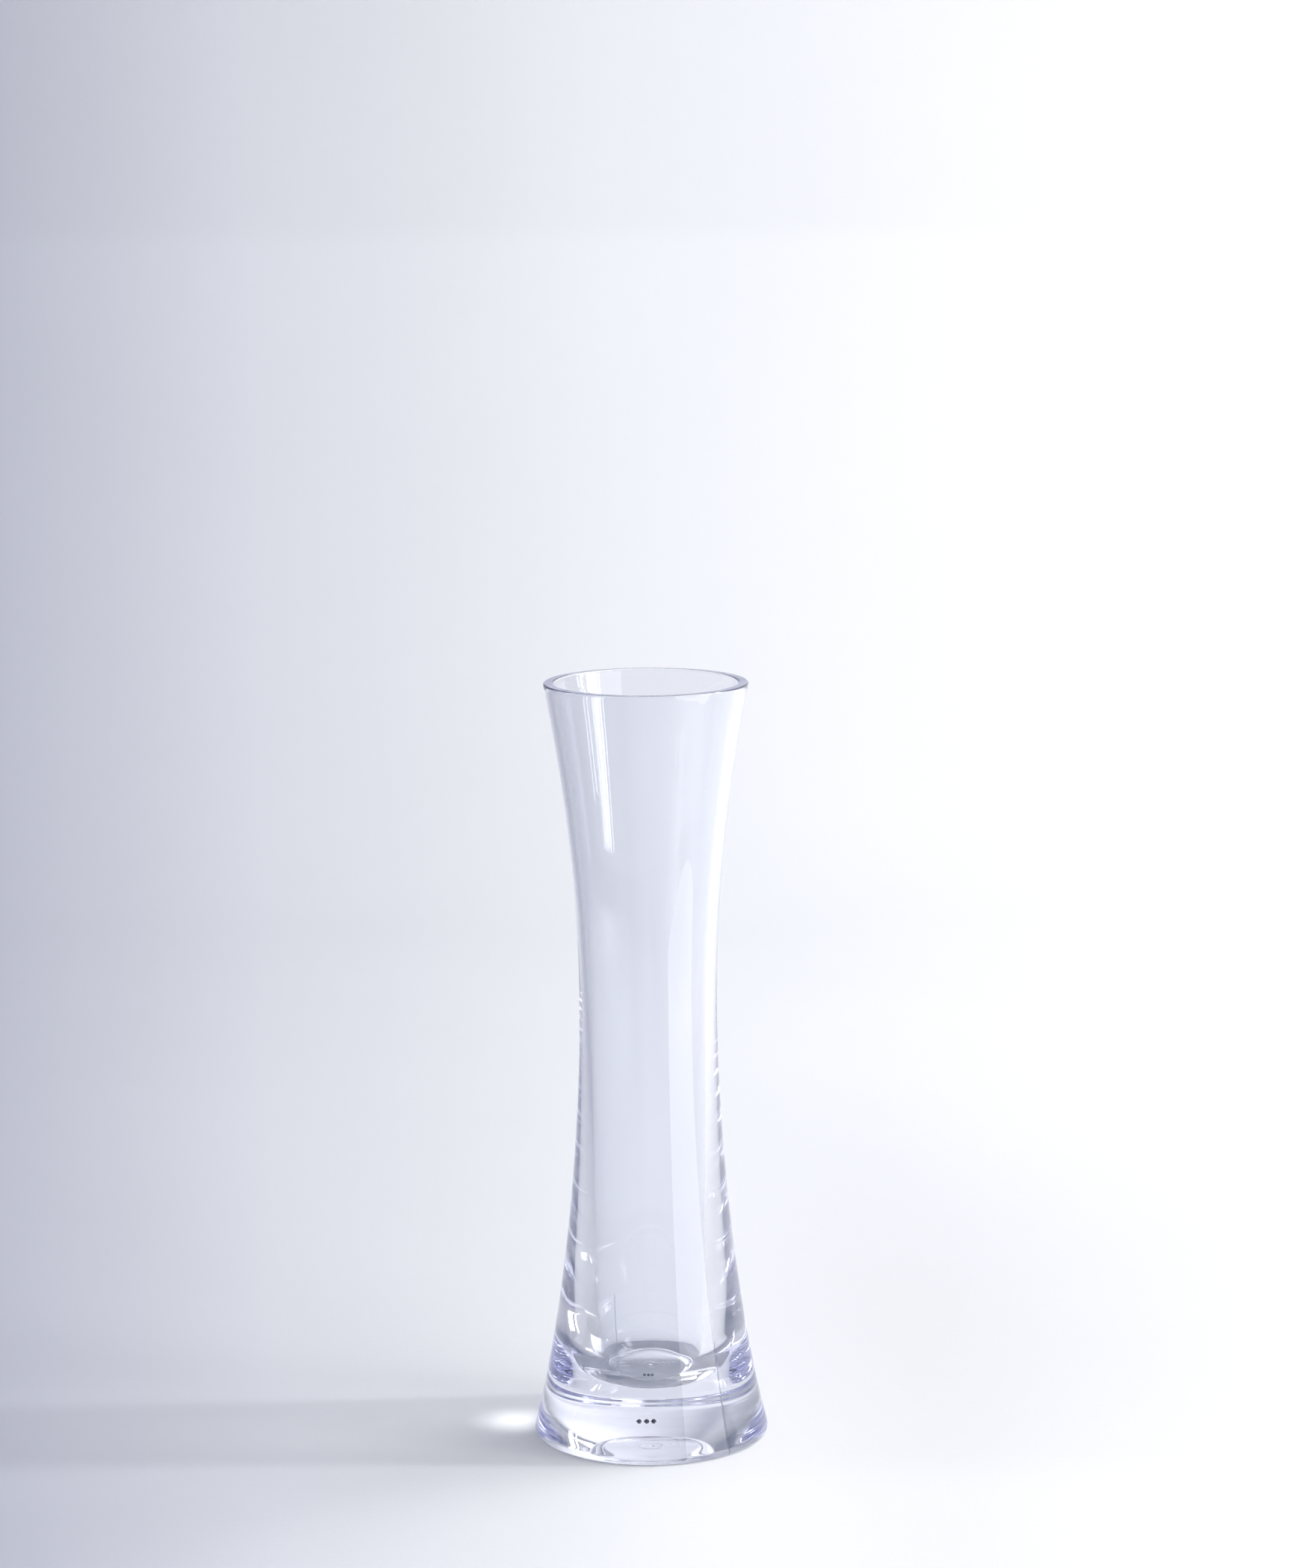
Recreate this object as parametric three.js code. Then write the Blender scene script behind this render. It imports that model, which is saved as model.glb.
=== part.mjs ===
// A waisted flower vase, moulded in one piece of clear tinted plastic: a wide,
// thick, solid base on a narrow foot ring, sides that draw in to a waist a
// little above half height, and a mouth that flares out to a plain flat rim.
//
// Millimetres, +Z up. The origin is the centre of the foot ring's flat face,
// so the whole vase lies at z >= 0 and turns about the Z axis.

import * as THREE from "three";
import {
  mergeVertices,
  toCreasedNormals,
} from "three/addons/utils/BufferGeometryUtils.js";

// ---------------------------------------------------------------- dimensions

const HEIGHT = 200; // foot to rim
const TURN_SEGMENTS = 64; // steps round the axis, a multiple of four

// Radius of the outside wall at each height: [z, r]. The curve through these
// points is smooth, with its waist at z = 115.
const OUTSIDE = [
  [0, 31.19],
  [10, 28.74],
  [20, 26.68],
  [30, 24.92],
  [40, 23.41],
  [50, 22.1],
  [60, 20.98],
  [70, 20.03],
  [80, 19.25],
  [90, 18.64],
  [100, 18.21],
  [110, 17.99],
  [120, 17.98],
  [130, 18.2],
  [140, 18.67],
  [150, 19.4],
  [160, 20.38],
  [170, 21.61],
  [180, 23.06],
  [190, 24.71],
  [200, 26.49],
];
const FOOT_EDGE = 1.6; // fillet between the outside wall and the underside

// Radius of the well at each height: [z, r]. It follows the outside at about
// 2.8 mm down to the waist. Below the waist the sides go on almost straight,
// with a slight draft, so the core that forms them can be drawn out upwards.
const WELL = [
  [25, 14.2],
  [34, 14.55],
  [44, 14.7],
  [58, 14.82],
  [74, 14.93],
  [92, 15.03],
  [108, 15.12],
  [120, 15.3],
  [130, 15.6],
  [140, 16.1],
  [150, 16.85],
  [160, 17.8],
  [170, 18.98],
  [180, 20.4],
  [190, 22.02],
  [200, 23.8],
];
const RIM_EDGE = 0.55; // fillet on each edge of the rim
const WELL_FLOOR = 14.75; // height of the flat floor of the well
const WELL_FLOOR_RADIUS = 9.4; // flat part of that floor
const WELL_CORNER_TOP = 25.2; // where the rounded corner meets the well's side

// The underside is hollowed into a shallow dome, so the vase stands on a narrow
// ring and the injection point in the middle stays clear of the table. The dome
// is a parabola that runs out softly into the flat of the ring.
const DOME_RADIUS = 25.6; // where the parabola would meet the table
const DOME_HEIGHT = 3.0; // rise of the parabola at the axis
const DOME_SOFT = 0.08; // how far the run-out stands off the parabola
const RING_INSIDE = 27.6; // inside edge of the ring's flat
const DOME_RADII = [26.7, 25.8, 24.8, 23.2, 20.5, 17, 13, 8.5, 4, 0];

// ------------------------------------------------------------------- profile

// Radius at height z on a smooth curve through a table of [z, r] rows.
function radiusAt(table, z) {
  const n = table.length;
  let i = 0;
  while (i < n - 2 && z > table[i + 1][0]) i += 1;
  const [z0, r0] = table[i];
  const [z1, r1] = table[i + 1];
  const slope = (a, b) => (b[1] - a[1]) / (b[0] - a[0]);
  const here = slope(table[i], table[i + 1]);
  const before = i > 0 ? slope(table[i - 1], table[i]) : here;
  const after = i < n - 2 ? slope(table[i + 1], table[i + 2]) : here;
  const m0 = i > 0 ? (before + here) / 2 : here - (after - here) / 2;
  const m1 = i < n - 2 ? (here + after) / 2 : here + (here - before) / 2;
  const h = z1 - z0;
  const t = (z - z0) / h;
  return (
    r0 * (1 + 2 * t) * (1 - t) ** 2 +
    h * m0 * t * (1 - t) ** 2 +
    r1 * t * t * (3 - 2 * t) +
    h * m1 * t * t * (t - 1)
  );
}

// A quarter-round from (r0, z0) to (r1, z1), bulging towards (rc, zc)'s corner.
function corner(r0, z0, r1, z1, rc, zc, steps) {
  const points = [];
  for (let i = 1; i < steps; i += 1) {
    const t = i / steps;
    const a = (1 - t) ** 2;
    const b = 2 * t * (1 - t);
    points.push([a * r0 + b * rc + t * t * r1, a * z0 + b * zc + t * t * z1]);
  }
  return points;
}

// Height of the domed underside at a radius, above the level it runs out to.
function domeAt(r) {
  const p = DOME_HEIGHT * (1 - (r / DOME_RADIUS) ** 2);
  return (p + Math.sqrt(p * p + 4 * DOME_SOFT ** 2)) / 2;
}

function profile() {
  const line = [];
  const add = (r, z) => line.push([r, z]);
  const addAll = (points) => points.forEach(([r, z]) => add(r, z));

  // Floor of the well, from the axis out, then its rounded corner.
  const cornerRadius = radiusAt(WELL, WELL_CORNER_TOP);
  add(0, WELL_FLOOR);
  add(WELL_FLOOR_RADIUS, WELL_FLOOR);
  addAll(
    corner(
      WELL_FLOOR_RADIUS,
      WELL_FLOOR,
      cornerRadius,
      WELL_CORNER_TOP,
      cornerRadius - 0.25,
      WELL_FLOOR,
      6,
    ),
  );

  // Side of the well, up to the rim.
  for (let z = WELL_CORNER_TOP; z < HEIGHT - 4; z += 12) add(radiusAt(WELL, z), z);
  const innerTop = HEIGHT - RIM_EDGE;
  add(radiusAt(WELL, innerTop), innerTop);

  // Rim: a flat land between two fillets.
  const ri = radiusAt(WELL, HEIGHT);
  const ro = radiusAt(OUTSIDE, HEIGHT);
  addAll(
    corner(
      radiusAt(WELL, innerTop),
      innerTop,
      ri + RIM_EDGE,
      HEIGHT,
      ri,
      HEIGHT,
      3,
    ),
  );
  add(ri + RIM_EDGE, HEIGHT);
  add(ro - RIM_EDGE, HEIGHT);
  addAll(
    corner(
      ro - RIM_EDGE,
      HEIGHT,
      radiusAt(OUTSIDE, innerTop),
      innerTop,
      ro,
      HEIGHT,
      3,
    ),
  );
  add(radiusAt(OUTSIDE, innerTop), innerTop);

  // Outside wall, down to the foot.
  for (let z = HEIGHT - 6; z > FOOT_EDGE + 3; z -= 11) add(radiusAt(OUTSIDE, z), z);
  const footRadius = radiusAt(OUTSIDE, FOOT_EDGE);
  const standRadius = radiusAt(OUTSIDE, 0) - FOOT_EDGE;
  add(footRadius, FOOT_EDGE);
  addAll(
    corner(
      footRadius,
      FOOT_EDGE,
      standRadius,
      0,
      radiusAt(OUTSIDE, 0),
      0,
      4,
    ),
  );
  add(standRadius, 0);

  // Underside: the foot ring's flat, then the dome in to the axis.
  add(RING_INSIDE, 0);
  for (const r of DOME_RADII) add(r, domeAt(r) - domeAt(RING_INSIDE));

  // A lathe turns the line about Y with its outside on the right of the
  // direction of travel, so the line runs from the underside to the well.
  return line.reverse().map(([r, z]) => new THREE.Vector2(r, z));
}

// ---------------------------------------------------------------------- part

function vaseBody() {
  const lathe = new THREE.LatheGeometry(profile(), TURN_SEGMENTS);
  lathe.deleteAttribute("normal");
  lathe.deleteAttribute("uv");
  const closed = mergeVertices(lathe, 1e-4);

  // Drop the triangles that shrink to a line where the profile meets the axis.
  const index = closed.index.array;
  const kept = [];
  for (let i = 0; i < index.length; i += 3) {
    const [a, b, c] = [index[i], index[i + 1], index[i + 2]];
    if (a !== b && b !== c && c !== a) kept.push(a, b, c);
  }
  closed.setIndex(kept);
  closed.rotateX(Math.PI / 2); // the lathe's Y axis becomes +Z

  return toCreasedNormals(closed, 0.6);
}

const clearPlastic = new THREE.MeshStandardMaterial({
  name: "clear_plastic",
  color: new THREE.Color(0.78, 0.79, 0.93),
  roughness: 0.04,
  metalness: 0,
  transparent: true,
  opacity: 0.35,
});

const body = new THREE.Mesh(vaseBody(), clearPlastic);
body.name = "vase_body";

const vase = new THREE.Group();
vase.name = "flower_vase";
vase.add(body);

export default vase;
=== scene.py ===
"""A clear, lavender-tinted, one-piece moulded flower vase on a pale paper sweep."""

import math

import bpy
from mathutils import Matrix, Vector


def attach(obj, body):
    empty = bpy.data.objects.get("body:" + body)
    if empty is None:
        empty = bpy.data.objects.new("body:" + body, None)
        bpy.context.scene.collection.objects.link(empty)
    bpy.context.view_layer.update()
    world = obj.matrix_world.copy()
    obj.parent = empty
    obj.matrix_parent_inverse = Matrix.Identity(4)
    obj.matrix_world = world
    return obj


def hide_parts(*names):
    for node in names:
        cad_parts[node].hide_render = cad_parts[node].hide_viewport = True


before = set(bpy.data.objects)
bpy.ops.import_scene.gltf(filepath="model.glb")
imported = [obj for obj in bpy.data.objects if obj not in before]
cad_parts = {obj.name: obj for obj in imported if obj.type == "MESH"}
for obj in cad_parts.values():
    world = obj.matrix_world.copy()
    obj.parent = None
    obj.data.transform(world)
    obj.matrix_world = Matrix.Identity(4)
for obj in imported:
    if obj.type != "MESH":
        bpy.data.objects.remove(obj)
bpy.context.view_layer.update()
scene = bpy.context.scene
MM = 0.001

# ------------------------------------------------------------------ dimensions
# Millimetres, the same numbers as the CAD part, and the fine detail on top.

HEIGHT = 200.0
OUTSIDE = [
    (0, 31.19), (10, 28.74), (20, 26.68), (30, 24.92), (40, 23.41), (50, 22.1),
    (60, 20.98), (70, 20.03), (80, 19.25), (90, 18.64), (100, 18.21),
    (110, 17.99), (120, 17.98), (130, 18.2), (140, 18.67), (150, 19.4),
    (160, 20.38), (170, 21.61), (180, 23.06), (190, 24.71), (200, 26.49),
]
FOOT_EDGE = 1.6
WELL = [
    (25, 14.2), (34, 14.55), (44, 14.7), (58, 14.82), (74, 14.93), (92, 15.03),
    (108, 15.12), (120, 15.3), (130, 15.6), (140, 16.1), (150, 16.85),
    (160, 17.8), (170, 18.98), (180, 20.4), (190, 22.02), (200, 23.8),
]
RIM_EDGE = 0.55
WELL_FLOOR = 14.75
WELL_FLOOR_RADIUS = 9.4
WELL_CORNER_TOP = 25.2
DOME_RADIUS = 25.6
DOME_HEIGHT = 3.0
DOME_SOFT = 0.08
RING_INSIDE = 27.6
SEGMENTS = 256
SEAMS = (-49.0, 131.0)  # the two parting lines, degrees round the axis
SEAM_HIGH = 0.07
SEAM_HALF = 0.38  # degrees
SEAM_TOP = 40.0  # the ridge is crisp below this height and fades out above it
PIPS = (-1.3, 0.0, 1.2)  # across the middle of the underside
PIP_AT = (-0.8, -0.6)
PIP_RADIUS = 0.46
PIP_HIGH = 0.45
TURNING = 0.006  # depth of the turning marks on the floor of the well
TURNING_STEP = 1.25
FLOOR_RING = 2.3
FLOOR_Z = -0.0001
IOR = 1.55
KEY = 5.1
KEY_WIDE = 0.06
KEY_TALL = 0.5
KEY_X = 1.0
KEY_Y = 0.02
KEY_Z = 0.42
FILL = 12.6
GATHERED = 0.0004
FILL_AT = (0.75, 0.45, 1.35)
WORLD = 0.78
WORLD_LEFT = (0.21, 0.24, 0.34, 1)
WORLD_FRONT = 0.0
WORLD_RIGHT = (0.85, 0.86, 0.9, 1)
BASE = (0.926, 0.938, 0.968, 1)
VOLUME = (0.71, 0.72, 0.92, 1)
DENSITY = 4.5
RIPPLE = 0.04
ROUGH = 0.012
# Painted light and shade on the paper: colour stops for a ramp from a darker cool grey on the left to white on the
# right, standing in for the falloff of the light from the right.
PAPER_PAINTED_SHADE_LEFT = (0.495, 0.505, 0.575, 1)
PAPER_PAINTED_LIGHT_RIGHT = (0.86, 0.86, 0.87, 1)
PAPER_PAINTED_LIGHT_FAR = (0.74, 0.745, 0.78, 1)  # far out on the left
PAPER_PAINTED_LIGHT_STOPS = [(0.4255, (0.70, 0.705, 0.735, 1)), (0.617, (0.795, 0.797, 0.805, 1))]
BOUNCES = 96
THROUGH = 90
PANES = [(-9.5, 0.035), (-17.5, 0.21), (-26.5, 0.05)]
PANE_GLOW = 6.5
# Painted light on the paper close in front, and painted shade on its near right.
NEAR_PAINTED_LIGHT = 1.05
RIGHT_PAINTED_SHADE = 0.865
PANE_LOW = 0.12
PANE_HIGH = 0.75
SHEEN = 2.0
SHEEN_FROM = 57.0
SHEEN_TO = 14.0
SHEEN_AWAY = 0.46
SHEEN_TALL = 0.5

# --------------------------------------------------------------------- profile


def smooth_table(table):
    """A natural cubic spline through (z, r) rows, as a function of z."""
    n = len(table)
    z = [float(row[0]) for row in table]
    r = [float(row[1]) for row in table]
    h = [z[i + 1] - z[i] for i in range(n - 1)]
    a, b, c, d = [0.0] * n, [1.0] * n, [0.0] * n, [0.0] * n
    for i in range(1, n - 1):
        a[i], b[i], c[i] = h[i - 1], 2 * (h[i - 1] + h[i]), h[i]
        d[i] = 6 * ((r[i + 1] - r[i]) / h[i] - (r[i] - r[i - 1]) / h[i - 1])
    for i in range(1, n):
        w = a[i] / b[i - 1]
        b[i] -= w * c[i - 1]
        d[i] -= w * d[i - 1]
    m = [0.0] * n
    m[n - 1] = d[n - 1] / b[n - 1]
    for i in range(n - 2, -1, -1):
        m[i] = (d[i] - c[i] * m[i + 1]) / b[i]

    def at(height):
        i = 0
        while i < n - 2 and height > z[i + 1]:
            i += 1
        p, q = z[i + 1] - height, height - z[i]
        return (
            (m[i] * p**3 + m[i + 1] * q**3) / (6 * h[i])
            + (r[i] / h[i] - m[i] * h[i] / 6) * p
            + (r[i + 1] / h[i] - m[i + 1] * h[i] / 6) * q
        )

    return at


outside_at = smooth_table(OUTSIDE)
well_at = smooth_table(WELL)


def rounded(p0, pc, p1, steps):
    """Points strictly between p0 and p1 on a curve that bulges towards the corner pc."""
    out = []
    for i in range(1, steps):
        t = i / steps
        w = math.sqrt(0.5)
        k0, k1, k2 = (1 - t) ** 2, 2 * w * t * (1 - t), t * t
        s = k0 + k1 + k2
        out.append(
            (
                (k0 * p0[0] + k1 * pc[0] + k2 * p1[0]) / s,
                (k0 * p0[1] + k1 * pc[1] + k2 * p1[1]) / s,
            )
        )
    return out


def dome_at(r):
    """Height of the hollow underside at a radius, a parabola that runs out softly into the foot ring."""
    p = DOME_HEIGHT * (1 - (r / DOME_RADIUS) ** 2)
    return (p + math.sqrt(p * p + 4 * DOME_SOFT * DOME_SOFT)) / 2


def vase_profile():
    """(r, z) points from the axis on the well's floor to the axis on the underside."""
    line = [(0.0, WELL_FLOOR)]
    for i in range(1, 111):
        r = WELL_FLOOR_RADIUS * i / 110
        fade = max(0.0, 1 - (r / (WELL_FLOOR_RADIUS - 0.6)) ** 4)
        mark = TURNING * fade * math.cos(2 * math.pi * r / TURNING_STEP)
        mark -= 0.06 * math.exp(-(((r - FLOOR_RING) / 0.16) ** 2))
        mark += 0.25 * math.exp(-((r / 0.45) ** 4))
        line.append((r, WELL_FLOOR + mark))
    rc = well_at(WELL_CORNER_TOP)
    line += rounded((WELL_FLOOR_RADIUS, WELL_FLOOR), (rc - 0.1, WELL_FLOOR), (rc, WELL_CORNER_TOP), 28)
    steps = 130
    top = HEIGHT - RIM_EDGE
    for i in range(steps + 1):
        z = WELL_CORNER_TOP + (top - WELL_CORNER_TOP) * i / steps
        line.append((well_at(z), z))
    ri, ro = well_at(HEIGHT), outside_at(HEIGHT)
    line += rounded((well_at(top), top), (ri, HEIGHT), (ri + RIM_EDGE, HEIGHT), 10)
    for i in range(5):
        line.append((ri + RIM_EDGE + (ro - ri - 2 * RIM_EDGE) * i / 4, HEIGHT))
    line += rounded((ro - RIM_EDGE, HEIGHT), (ro, HEIGHT), (outside_at(top), top), 10)
    steps = 150
    for i in range(steps + 1):
        z = top + (FOOT_EDGE - top) * i / steps
        line.append((outside_at(z), z))
    stand = outside_at(0) - FOOT_EDGE
    line += rounded((outside_at(FOOT_EDGE), FOOT_EDGE), (outside_at(0.15), 0.0), (stand, 0.0), 16)
    for i in range(5):
        line.append((stand + (RING_INSIDE - stand) * i / 4, 0.0))
    radii = [RING_INSIDE - (RING_INSIDE - 3.2) * i / 80 for i in range(1, 81)]
    radii += [3.2 * (1 - i / 40) for i in range(1, 41)]
    for r in radii:
        line.append((r if r > 1e-9 else 0.0, dome_at(r) - dome_at(RING_INSIDE)))
    return line


def turn_angles():
    """Even steps round the axis, with a few close ones at each parting line."""
    angles = {round(360.0 * k / SEGMENTS, 4) for k in range(SEGMENTS)}
    for seam in SEAMS:
        angles = {a for a in angles if abs((a - seam + 180) % 360 - 180) > 0.62}
        for d in (-0.6, -SEAM_HALF - 0.05, -SEAM_HALF, 0.0, SEAM_HALF, SEAM_HALF + 0.05, 0.6):
            angles.add(round((seam + d) % 360, 4))
    return sorted(angles)


def seam_at(angle, z):
    """How proud the parting line stands at an angle and height of the outside wall."""
    off = min(abs((angle - seam + 180) % 360 - 180) for seam in SEAMS)
    if off >= SEAM_HALF or z < 0.3 or z > HEIGHT - 2:
        return 0.0
    fade = 1.0 if z < SEAM_TOP - 8 else max(0.12, 1 - (z - SEAM_TOP + 8) / 8)
    return SEAM_HIGH * fade * (1 - off / SEAM_HALF)


def pip_at(x, y):
    """How far the gate pips rise into the underside at a point near its middle."""
    high = 0.0
    for px in PIPS:
        d = math.hypot((x - PIP_AT[0] - px) / PIP_RADIUS, (y - PIP_AT[1]) / (PIP_RADIUS * 2.6))
        if d < 1.0:
            high = max(high, PIP_HIGH * min(1.0, (1 - d) * 2.5))
    return high


def lathe(name, line):
    """A closed mesh from a profile that starts and ends on the axis."""
    angles = turn_angles()
    segments = len(angles)
    turns = [(math.cos(math.radians(a)), math.sin(math.radians(a))) for a in angles]
    peak = max(range(len(line)), key=lambda i: line[i][1])
    verts, faces, rings = [], [], []
    for i, (r, z) in enumerate(line):
        if r < 1e-9:
            rings.append([len(verts)])
            lift = pip_at(0, 0) if i else 0.0
            verts.append((0.0, 0.0, (z + lift) * MM))
            continue
        start = len(verts)
        under = i > peak and r < 3.6 and z < 6
        outside = i > peak and z > 0.2 and not under and r > 15 and z > dome_at(r)
        for angle, (c, q) in zip(angles, turns):
            radius = r + (seam_at(angle, z) if outside else 0.0)
            lift = pip_at(r * c, r * q) if under else 0.0
            verts.append((radius * MM * c, radius * MM * q, (z + lift) * MM))
        rings.append(list(range(start, start + segments)))
    for low, high in zip(rings, rings[1:]):
        for k in range(segments):
            n = (k + 1) % segments
            if len(low) == 1:
                faces.append((low[0], high[k], high[n]))
            elif len(high) == 1:
                faces.append((low[k], high[0], low[n]))
            else:
                faces.append((low[k], high[k], high[n], low[n]))
    mesh = bpy.data.meshes.new(name)
    mesh.from_pydata(verts, [], faces)
    mesh.validate()
    mesh.update()
    for p in mesh.polygons:
        p.use_smooth = True
    obj = bpy.data.objects.new(name, mesh)
    scene.collection.objects.link(obj)
    return obj


vase = lathe("vase_clear_body", vase_profile())

# ------------------------------------------------------------------- materials


def new_material(name):
    mat = bpy.data.materials.new(name)
    mat.use_nodes = True
    return mat, mat.node_tree.nodes, mat.node_tree.links


def clear_plastic():
    """Clear moulded plastic: a lavender body tint, long shallow moulding ripples, and a polish that varies a little."""
    mat, nodes, links = new_material("clear_plastic")
    bsdf = nodes["Principled BSDF"]
    bsdf.inputs["IOR"].default_value = IOR
    bsdf.inputs["Transmission Weight"].default_value = 1.0
    coords = nodes.new("ShaderNodeTexCoord")

    tint = nodes.new("ShaderNodeTexNoise")
    tint.inputs["Scale"].default_value = 14.0
    tint.inputs["Detail"].default_value = 1.5
    links.new(coords.outputs["Object"], tint.inputs["Vector"])
    shade = nodes.new("ShaderNodeValToRGB")
    shade.color_ramp.elements[0].position = 0.3
    shade.color_ramp.elements[1].position = 0.7
    shade.color_ramp.elements[0].color = tuple(v - 0.006 for v in BASE[:3]) + (1,)
    shade.color_ramp.elements[1].color = tuple(v + 0.006 for v in BASE[:3]) + (1,)
    links.new(tint.outputs["Fac"], shade.inputs["Fac"])
    links.new(shade.outputs["Color"], bsdf.inputs["Base Color"])

    polish = nodes.new("ShaderNodeTexNoise")
    polish.inputs["Scale"].default_value = 55.0
    polish.inputs["Detail"].default_value = 2.0
    links.new(coords.outputs["Object"], polish.inputs["Vector"])
    dull = nodes.new("ShaderNodeMapRange")
    dull.inputs["From Min"].default_value = 0.45
    dull.inputs["From Max"].default_value = 0.8
    dull.inputs["To Min"].default_value = 0.0
    dull.inputs["To Max"].default_value = ROUGH
    links.new(polish.outputs["Fac"], dull.inputs["Value"])
    links.new(dull.outputs["Result"], bsdf.inputs["Roughness"])

    stretch = nodes.new("ShaderNodeMapping")
    stretch.inputs["Scale"].default_value = (1.0, 1.0, 0.16)
    links.new(coords.outputs["Object"], stretch.inputs["Vector"])
    ripple = nodes.new("ShaderNodeTexNoise")
    ripple.inputs["Scale"].default_value = 70.0
    ripple.inputs["Detail"].default_value = 1.0
    links.new(stretch.outputs["Vector"], ripple.inputs["Vector"])
    bump = nodes.new("ShaderNodeBump")
    bump.inputs["Strength"].default_value = RIPPLE
    bump.inputs["Distance"].default_value = 0.001
    links.new(ripple.outputs["Fac"], bump.inputs["Height"])
    links.new(bump.outputs["Normal"], bsdf.inputs["Normal"])

    out = nodes["Material Output"]
    vol = nodes.new("ShaderNodeVolumeAbsorption")
    vol.inputs["Color"].default_value = VOLUME
    vol.inputs["Density"].default_value = DENSITY
    links.new(vol.outputs["Volume"], out.inputs["Volume"])
    return mat


vase.data.materials.append(clear_plastic())


def pip_painted_shade():
    """The torn, dull ends of the gate pips, painted near-black as painted shade for the dark they show through the
    base.
    """
    mat, nodes, links = new_material("pip_painted_shade")
    bsdf = nodes["Principled BSDF"]
    bsdf.inputs["Roughness"].default_value = 0.55
    coords = nodes.new("ShaderNodeTexCoord")
    torn = nodes.new("ShaderNodeTexNoise")
    torn.inputs["Scale"].default_value = 2200.0
    torn.inputs["Detail"].default_value = 3.0
    links.new(coords.outputs["Object"], torn.inputs["Vector"])
    # Painted shade: a near-black colour on the pip ends.
    ramp = nodes.new("ShaderNodeValToRGB")
    ramp.color_ramp.elements[0].position = 0.35
    ramp.color_ramp.elements[1].position = 0.7
    ramp.color_ramp.elements[0].color = (0.03, 0.035, 0.055, 1)
    ramp.color_ramp.elements[1].color = (0.06, 0.065, 0.1, 1)
    links.new(torn.outputs["Fac"], ramp.inputs["Fac"])
    links.new(ramp.outputs["Color"], bsdf.inputs["Base Color"])
    return mat


def parting_line_painted_shade():
    """The witness line of the mould halves: the same plastic, finely matt, with a darker tint that is painted shade for
    the dark line the raised ridge shows.
    """
    mat, nodes, links = new_material("parting_line_painted_shade")
    bsdf = nodes["Principled BSDF"]
    bsdf.inputs["IOR"].default_value = IOR
    bsdf.inputs["Transmission Weight"].default_value = 1.0
    coords = nodes.new("ShaderNodeTexCoord")
    patchy = nodes.new("ShaderNodeTexNoise")
    patchy.inputs["Scale"].default_value = 260.0
    patchy.inputs["Detail"].default_value = 2.0
    links.new(coords.outputs["Object"], patchy.inputs["Vector"])
    # Painted shade: the seam's tint is a dark blue-grey.
    ramp = nodes.new("ShaderNodeValToRGB")
    ramp.color_ramp.elements[0].position = 0.35
    ramp.color_ramp.elements[1].position = 0.65
    ramp.color_ramp.elements[0].color = (0.14, 0.15, 0.23, 1)
    ramp.color_ramp.elements[1].color = (0.31, 0.33, 0.43, 1)
    links.new(patchy.outputs["Fac"], ramp.inputs["Fac"])
    links.new(ramp.outputs["Color"], bsdf.inputs["Base Color"])
    dull = nodes.new("ShaderNodeMapRange")
    dull.inputs["To Min"].default_value = 0.04
    dull.inputs["To Max"].default_value = 0.12
    links.new(patchy.outputs["Fac"], dull.inputs["Value"])
    links.new(dull.outputs["Result"], bsdf.inputs["Roughness"])
    return mat


vase.data.materials.append(pip_painted_shade())
vase.data.materials.append(parting_line_painted_shade())
for face in vase.data.polygons:
    c = face.center
    # The gate pip faces get the near-black painted shade.
    if c.z < 0.005 and math.hypot(c.x, c.y) < 0.0036 and pip_at(c.x / MM, c.y / MM) > 0:
        face.material_index = 1
    # The parting-line faces get the tint of painted shade.
    elif c.z < (SEAM_TOP - 4) * MM and math.hypot(c.x, c.y) > 0.025:
        if seam_at(math.degrees(math.atan2(c.y, c.x)), c.z / MM) > 0:
            face.material_index = 2
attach(vase, "root")
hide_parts("vase_body")

# ----------------------------------------------------------------------- stage


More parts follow.
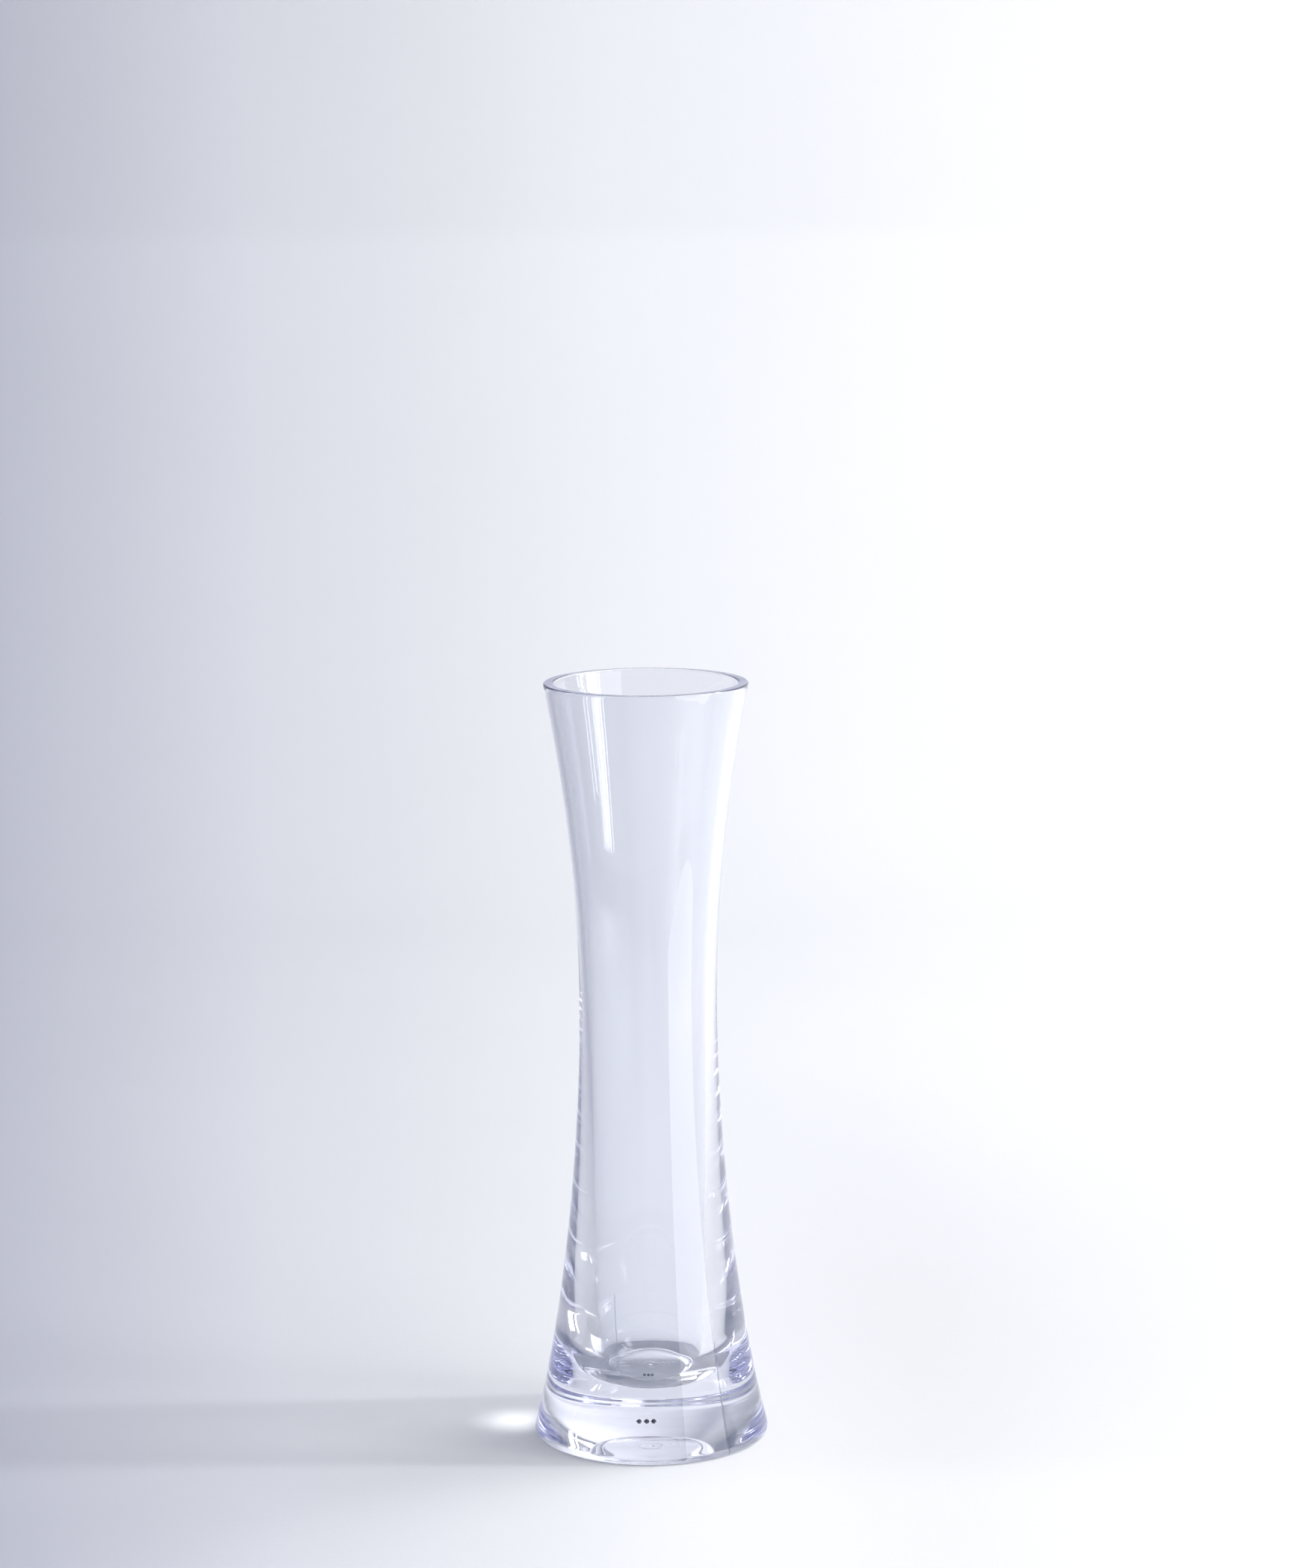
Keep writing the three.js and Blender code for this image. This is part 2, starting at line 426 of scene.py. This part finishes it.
def paper():
    """Matt paper, with painted light and shade: its colour runs from a cool grey on the left to white on the right,
    fanning out with distance, for the falloff of the light from the right.
    """
    mat, nodes, links = new_material("paper")
    bsdf = nodes["Principled BSDF"]
    bsdf.inputs["Roughness"].default_value = 0.9
    coords = nodes.new("ShaderNodeTexCoord")
    split = nodes.new("ShaderNodeSeparateXYZ")
    links.new(coords.outputs["Object"], split.inputs[0])
    away = nodes.new("ShaderNodeMath")
    away.operation = "ADD"
    away.inputs[1].default_value = 1.0
    links.new(split.outputs["Y"], away.inputs[0])
    kept = nodes.new("ShaderNodeClamp")
    kept.inputs["Min"].default_value = 0.9
    kept.inputs["Max"].default_value = 2.2
    links.new(away.outputs[0], kept.inputs["Value"])
    across = nodes.new("ShaderNodeMath")
    across.operation = "DIVIDE"
    links.new(split.outputs["X"], across.inputs[0])
    links.new(kept.outputs[0], across.inputs[1])
    span = nodes.new("ShaderNodeMapRange")
    span.inputs["From Min"].default_value = -0.30
    span.inputs["From Max"].default_value = 0.17
    links.new(across.outputs[0], span.inputs["Value"])
    # Painted light and shade: this colour ramp darkens the sheet to the left and whitens it to the right.
    ramp = nodes.new("ShaderNodeValToRGB")
    ramp.color_ramp.elements[0].color = PAPER_PAINTED_LIGHT_FAR
    ramp.color_ramp.elements[1].color = PAPER_PAINTED_LIGHT_RIGHT
    for at, color in [(0.17, PAPER_PAINTED_SHADE_LEFT), (0.234, PAPER_PAINTED_SHADE_LEFT)] + PAPER_PAINTED_LIGHT_STOPS:
        ramp.color_ramp.elements.new(at).color = color
    links.new(span.outputs["Result"], ramp.inputs["Fac"])
    # A faint fold across the sheet behind the vase, with painted shade on the sheet above it, and cloudy toning.
    fold_painted_shade = nodes.new("ShaderNodeMapRange")
    fold_painted_shade.interpolation_type = "SMOOTHSTEP"
    fold_painted_shade.inputs["From Min"].default_value = 0.274
    fold_painted_shade.inputs["From Max"].default_value = 0.290
    fold_painted_shade.inputs["To Min"].default_value = 1.0
    fold_painted_shade.inputs["To Max"].default_value = 0.97
    links.new(split.outputs["Z"], fold_painted_shade.inputs["Value"])
    cloud = nodes.new("ShaderNodeTexNoise")
    cloud.inputs["Scale"].default_value = 3.5
    cloud.inputs["Detail"].default_value = 4.0
    links.new(coords.outputs["Object"], cloud.inputs["Vector"])
    tone = nodes.new("ShaderNodeMapRange")
    tone.inputs["From Min"].default_value = 0.3
    tone.inputs["From Max"].default_value = 0.7
    tone.inputs["To Min"].default_value = 0.982
    tone.inputs["To Max"].default_value = 1.012
    links.new(cloud.outputs["Fac"], tone.inputs["Value"])
    fold_shade_and_tone = nodes.new("ShaderNodeMath")
    fold_shade_and_tone.operation = "MULTIPLY"
    links.new(fold_painted_shade.outputs["Result"], fold_shade_and_tone.inputs[0])
    links.new(tone.outputs["Result"], fold_shade_and_tone.inputs[1])
    # Painted light makes the sheet a little paler close in front, and painted shade greys it a little on the near
    # right.
    near = nodes.new("ShaderNodeMapRange")
    near.interpolation_type = "SMOOTHSTEP"
    near.inputs["From Min"].default_value = -0.055
    near.inputs["From Max"].default_value = -0.015
    near.inputs["To Min"].default_value = NEAR_PAINTED_LIGHT
    near.inputs["To Max"].default_value = 1.0
    links.new(split.outputs["Y"], near.inputs["Value"])
    shaded = nodes.new("ShaderNodeMath")
    shaded.operation = "MULTIPLY"
    links.new(fold_shade_and_tone.outputs[0], shaded.inputs[0])
    links.new(near.outputs["Result"], shaded.inputs[1])
    ahead = nodes.new("ShaderNodeMapRange")
    ahead.interpolation_type = "SMOOTHSTEP"
    ahead.inputs["From Min"].default_value = 0.5
    ahead.inputs["From Max"].default_value = 0.05
    links.new(split.outputs["Y"], ahead.inputs["Value"])
    beside = nodes.new("ShaderNodeMapRange")
    beside.interpolation_type = "SMOOTHSTEP"
    beside.inputs["From Min"].default_value = 0.0
    beside.inputs["From Max"].default_value = 0.09
    links.new(split.outputs["X"], beside.inputs["Value"])
    corner = nodes.new("ShaderNodeMath")
    corner.operation = "MULTIPLY"
    links.new(ahead.outputs["Result"], corner.inputs[0])
    links.new(beside.outputs["Result"], corner.inputs[1])
    near_right_painted_shade = nodes.new("ShaderNodeMapRange")
    near_right_painted_shade.inputs["To Min"].default_value = 1.0
    near_right_painted_shade.inputs["To Max"].default_value = RIGHT_PAINTED_SHADE
    links.new(corner.outputs[0], near_right_painted_shade.inputs["Value"])
    tone_and_painted_light = nodes.new("ShaderNodeMath")
    tone_and_painted_light.operation = "MULTIPLY"
    links.new(shaded.outputs[0], tone_and_painted_light.inputs[0])
    links.new(near_right_painted_shade.outputs["Result"], tone_and_painted_light.inputs[1])
    painted_light_colour = nodes.new("ShaderNodeVectorMath")
    painted_light_colour.operation = "SCALE"
    links.new(ramp.outputs["Color"], painted_light_colour.inputs[0])
    links.new(tone_and_painted_light.outputs[0], painted_light_colour.inputs["Scale"])
    links.new(painted_light_colour.outputs[0], bsdf.inputs["Base Color"])
    # Fine fibre grain.
    grain = nodes.new("ShaderNodeTexNoise")
    grain.inputs["Scale"].default_value = 420.0
    grain.inputs["Detail"].default_value = 5.0
    grain.inputs["Roughness"].default_value = 0.65
    links.new(coords.outputs["Object"], grain.inputs["Vector"])
    bump = nodes.new("ShaderNodeBump")
    bump.inputs["Strength"].default_value = 0.12
    bump.inputs["Distance"].default_value = 0.0004
    links.new(grain.outputs["Fac"], bump.inputs["Height"])
    links.new(bump.outputs["Normal"], bsdf.inputs["Normal"])
    return mat


def sweep():
    line = []
    back, radius = 1.15, 0.5
    for i in range(9):
        line.append((-2.6 + (2.6 + back - radius) * i / 8, FLOOR_Z))
    for i in range(1, 25):
        a = math.pi / 2 * i / 24
        line.append((back - radius + radius * math.sin(a), FLOOR_Z + radius - radius * math.cos(a)))
    line.append((back, 2.2))
    verts, faces = [], []
    for y, z in line:
        verts += [(-2.6, y, z), (2.6, y, z)]
    for i in range(len(line) - 1):
        faces.append((2 * i, 2 * i + 1, 2 * i + 3, 2 * i + 2))
    mesh = bpy.data.meshes.new("paper_sweep")
    mesh.from_pydata(verts, [], faces)
    for p in mesh.polygons:
        p.use_smooth = True
    obj = bpy.data.objects.new("paper_sweep", mesh)
    scene.collection.objects.link(obj)
    mesh.materials.append(paper())
    return obj


sweep()


def area(name, place, look, size_x, size_y, power, color=(1, 1, 1)):
    data = bpy.data.lights.new(name, "AREA")
    data.shape = "RECTANGLE"
    data.size, data.size_y = size_x, size_y
    data.energy = power
    data.color = color
    obj = bpy.data.objects.new(name, data)
    obj.location = place
    obj.rotation_mode = "QUATERNION"
    obj.rotation_quaternion = (Vector(look) - Vector(place)).to_track_quat("-Z", "Y")
    obj.visible_camera = False
    scene.collection.objects.link(obj)
    return obj


def glowing_panel(name, x, y, low, high, wide, glow, color=(1, 1, 1)):
    """An upright panel that faces the vase. Its power follows from its size and how bright it looks."""
    tall = high - low
    place = (x, y, (low + high) / 2)
    return area(name, place, (0, 0, place[2]), wide, tall, glow * math.pi * wide * tall, color)


# A window on the right and a little in front, in three panes with thin bars between them.
for i, (turn, wide) in enumerate(PANES):
    t = math.radians(turn)
    glowing_panel(
        "window_pane_%d" % (i + 1), 1.15 * math.cos(t), 1.15 * math.sin(t), PANE_LOW, PANE_HIGH, wide, PANE_GLOW
    )

# A pale reflector standing to the right front. It gives the broad sheen on the right half of the wall.
t0, t1 = math.radians(-SHEEN_FROM), math.radians(-SHEEN_TO)
sx = SHEEN_AWAY * (math.cos(t0) + math.cos(t1)) / 2
sy = SHEEN_AWAY * (math.sin(t0) + math.sin(t1)) / 2
reflector = glowing_panel("reflector", sx, sy, 0.0, SHEEN_TALL, 2 * SHEEN_AWAY * math.sin(abs(t1 - t0) / 2), SHEEN)

reflector.visible_transmission = False
area("key_right", (KEY_X, KEY_Y, KEY_Z), (0, 0, 0.06), KEY_WIDE, KEY_TALL, KEY, (0.98, 0.985, 1.0))
# Light that the heavy base gathers on the table, just beside the foot on the shadow side.
gathered = area("gathered_light", (-0.0362, 0.0065, 0.03), (-0.0362, 0.0065, 0.0), 0.008, 0.003, GATHERED, (1.0, 1.0, 0.99))
gathered.data.spread = math.radians(42)
gathered.visible_glossy = gathered.visible_transmission = False
area("fill_over", FILL_AT, (0.1, 1.15, 0.35), 1.0, 0.7, FILL, (0.99, 0.99, 1.0))

def room():
    """Surroundings by direction: dim and bluish on the left, paler on the right."""
    world = bpy.data.worlds.new("room")
    scene.world = world
    world.use_nodes = True
    nodes, links = world.node_tree.nodes, world.node_tree.links
    back = nodes["Background"]
    coords = nodes.new("ShaderNodeTexCoord")
    split = nodes.new("ShaderNodeSeparateXYZ")
    links.new(coords.outputs["Generated"], split.inputs[0])
    span = nodes.new("ShaderNodeMapRange")
    span.inputs["From Min"].default_value = -1.0
    span.inputs["From Max"].default_value = 1.0
    links.new(split.outputs["X"], span.inputs["Value"])
    ramp = nodes.new("ShaderNodeValToRGB")
    ramp.color_ramp.elements[0].color = WORLD_LEFT
    ramp.color_ramp.elements[1].color = WORLD_RIGHT
    links.new(span.outputs["Result"], ramp.inputs["Fac"])
    links.new(ramp.outputs["Color"], back.inputs["Color"])
    front = nodes.new("ShaderNodeMapRange")
    front.inputs["From Min"].default_value = 0.1
    front.inputs["From Max"].default_value = -0.8
    front.inputs["To Min"].default_value = WORLD
    front.inputs["To Max"].default_value = WORLD * (1 + WORLD_FRONT)
    links.new(split.outputs["Y"], front.inputs["Value"])
    links.new(front.outputs["Result"], back.inputs["Strength"])


room()

# ---------------------------------------------------------------------- camera

cam_data = bpy.data.cameras.new("camera")
cam = bpy.data.objects.new("camera", cam_data)
scene.collection.objects.link(cam)
cam_data.sensor_width = 36.0
cam_data.lens = 89.933
cam_data.clip_start, cam_data.clip_end = 0.01, 50
pitch, yaw, roll = (math.radians(a) for a in (9.6823, 0.1032, -0.428))
forward = Vector((math.sin(yaw) * math.cos(pitch), math.cos(yaw) * math.cos(pitch), -math.sin(pitch)))
right = Vector((math.cos(yaw), -math.sin(yaw), 0.0))
up = right.cross(forward)
right, up = (
    right * math.cos(roll) + up * math.sin(roll),
    up * math.cos(roll) - right * math.sin(roll),
)
cam.matrix_world = Matrix(
    (
        (right.x, up.x, -forward.x, 0.0),
        (right.y, up.y, -forward.y, -0.9971),
        (right.z, up.z, -forward.z, 0.3434),
        (0, 0, 0, 1),
    )
)
scene.camera = cam

# ---------------------------------------------------------------- light paths

cy = scene.cycles
cy.max_bounces = BOUNCES
cy.transmission_bounces = THROUGH
cy.glossy_bounces = THROUGH
cy.diffuse_bounces = 3
cy.transparent_max_bounces = 12
cy.caustics_reflective = True
cy.caustics_refractive = True
cy.blur_glossy = 0.3
cy.sample_clamp_indirect = 6.0
scene.view_settings.view_transform = "Standard"
scene.view_settings.look = "None"
